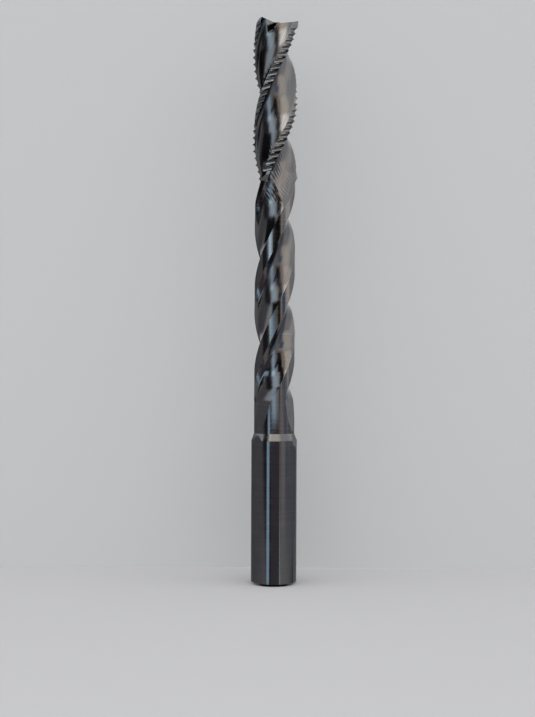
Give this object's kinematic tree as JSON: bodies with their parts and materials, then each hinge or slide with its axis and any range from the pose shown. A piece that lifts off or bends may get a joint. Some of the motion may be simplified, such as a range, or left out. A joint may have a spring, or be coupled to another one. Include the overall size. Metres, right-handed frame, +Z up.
{
  "type": "upcut router bit",
  "caption": "Solid carbide upcut router bit with helical flutes, a reduced neck and chip-breaking serrations along its cutting edges.",
  "frame": {"origin": "centre of the flat shank end, where the bit stands", "axes": "+Z up along the axis of rotation, from the shank end to the cutting end; the end of one cutting edge points 7 degrees clockwise of +X seen from the cutting end"},
  "size_m": [0.0126, 0.0126, 0.156],
  "materials": {
    "ground_carbide": "fine ground solid carbide, dark grey"
  },
  "bodies": {
    "root": {"router_bit": "ground_carbide"}
  },
  "joints": []
}
